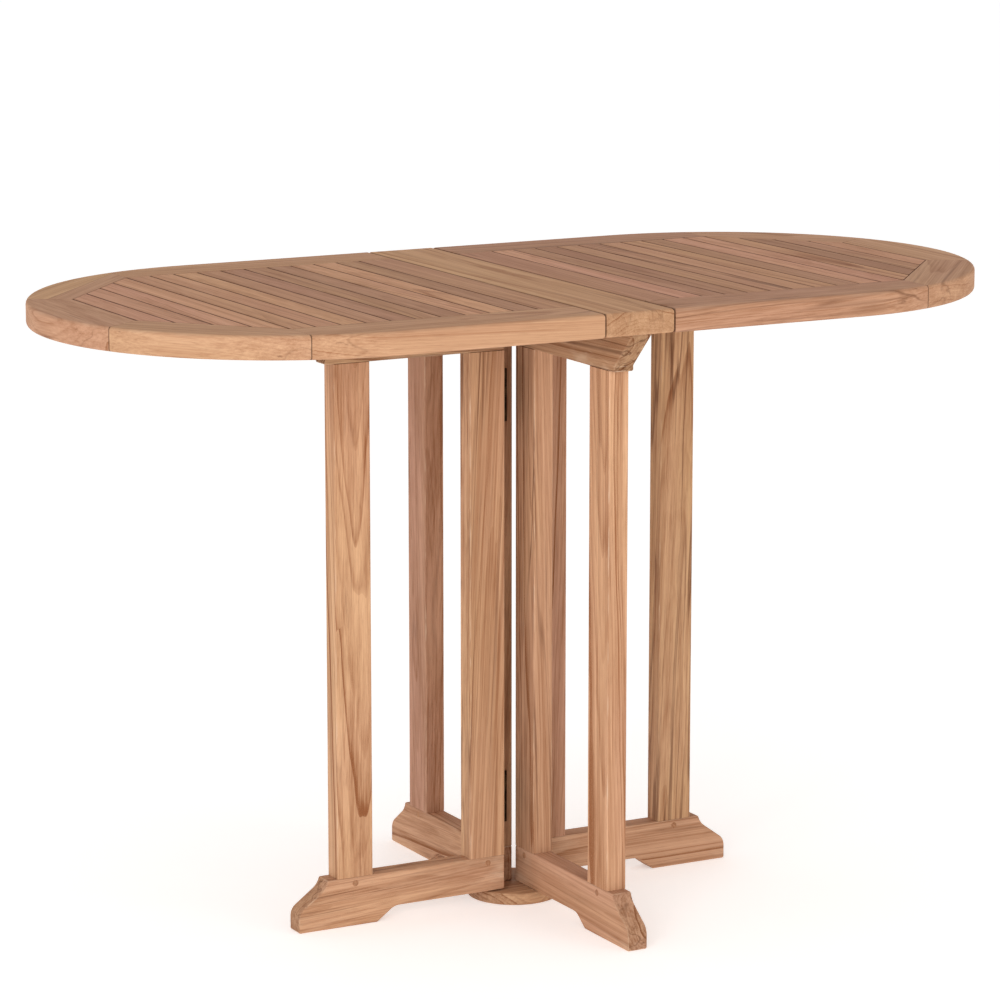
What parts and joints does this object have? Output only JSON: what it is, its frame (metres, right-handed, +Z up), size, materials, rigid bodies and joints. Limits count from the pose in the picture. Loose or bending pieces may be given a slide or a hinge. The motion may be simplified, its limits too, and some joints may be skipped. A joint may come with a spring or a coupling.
{
  "type": "gateleg table",
  "caption": "Oval slatted wooden table with two hinged leaves beside a narrow centre board, carried by fixed and swinging gate legs with sled feet around a small disc.",
  "frame": {"origin": "on the floor under the middle of the table top, at the centre of the base disc", "axes": "+X along the length of the opened top, towards the leaf that the right gate holds up; +Y across the top towards the back; +Z up"},
  "size_m": [1.2, 0.6, 0.76],
  "materials": {
    "board_wood": "oiled teak, lighter and yellower boards",
    "frame_wood": "oiled teak, fine grain, satin",
    "slat_wood": "oiled teak, pinkish brown, satin",
    "gate_wood": "oiled teak with dark heartwood streaks, satin",
    "peg_wood": "end grain of teak dowel",
    "hinge_brass": "darkened brass",
    "screw_brass": "darkened brass"
  },
  "bodies": {
    "root": {"centre_board": "board_wood", "front_foot": "gate_wood", "front_top_rail": "gate_wood", "front_inner_post": "gate_wood", "front_outer_post": "gate_wood", "front_pegs": "peg_wood", "back_foot": "gate_wood", "back_top_rail": "gate_wood", "back_inner_post": "gate_wood", "back_outer_post": "gate_wood", "back_pegs": "peg_wood", "base_disc": "frame_wood", "disc_screws": "screw_brass", "board_screws": "screw_brass", "board_hinge_plates": "hinge_brass", "leaf_hinge_pins": "hinge_brass", "fixed_gate_hinge_plates": "hinge_brass", "gate_hinge_pins": "hinge_brass", "fixed_hinge_screws": "screw_brass"},
    "left_gate": {"left_foot": "gate_wood", "left_top_rail": "gate_wood", "left_inner_post": "gate_wood", "left_outer_post": "gate_wood", "left_pegs": "peg_wood", "left_gate_hinge_plates": "hinge_brass", "left_gate_hinge_screws": "screw_brass"},
    "right_gate": {"right_foot": "gate_wood", "right_top_rail": "gate_wood", "right_inner_post": "gate_wood", "right_outer_post": "gate_wood", "right_pegs": "peg_wood", "right_gate_hinge_plates": "hinge_brass", "right_gate_hinge_screws": "screw_brass"},
    "left_leaf": {"left_hinge_rail": "slat_wood", "left_front_rail": "frame_wood", "left_back_rail": "frame_wood", "left_end_rail": "frame_wood", "left_front_corner": "frame_wood", "left_back_corner": "frame_wood", "left_back_corner_strip": "board_wood", "left_long_slats": "slat_wood", "left_short_slats": "slat_wood", "left_bearer": "gate_wood", "left_bearer_screws": "screw_brass", "left_leaf_hinge_plates": "hinge_brass", "left_leaf_hinge_screws": "screw_brass"},
    "right_leaf": {"right_hinge_rail": "slat_wood", "right_front_rail": "frame_wood", "right_back_rail": "frame_wood", "right_end_rail": "frame_wood", "right_front_corner": "frame_wood", "right_back_corner": "frame_wood", "right_long_slats": "slat_wood", "right_short_slats": "slat_wood", "right_bearer": "gate_wood", "right_bearer_screws": "screw_brass", "right_leaf_hinge_plates": "hinge_brass", "right_leaf_hinge_screws": "screw_brass"}
  },
  "joints": [
    {"name": "left_gate_swing", "type": "hinge", "parent": "root", "child": "left_gate", "pos_m": [-0.0285, -0.003, 0], "axis": [0, 0, 1], "range_deg": [0, 90]},
    {"name": "right_gate_swing", "type": "hinge", "parent": "root", "child": "right_gate", "pos_m": [0.0285, 0.003, 0], "axis": [0, 0, 1], "range_deg": [0, 90]},
    {"name": "left_leaf_lift", "type": "hinge", "parent": "root", "child": "left_leaf", "pos_m": [-0.045, 0, 0.7352], "axis": [0, 1, 0], "range_deg": [0, 4]},
    {"name": "right_leaf_lift", "type": "hinge", "parent": "root", "child": "right_leaf", "pos_m": [0.045, 0, 0.7352], "axis": [0, -1, 0], "range_deg": [0, 4]}
  ]
}
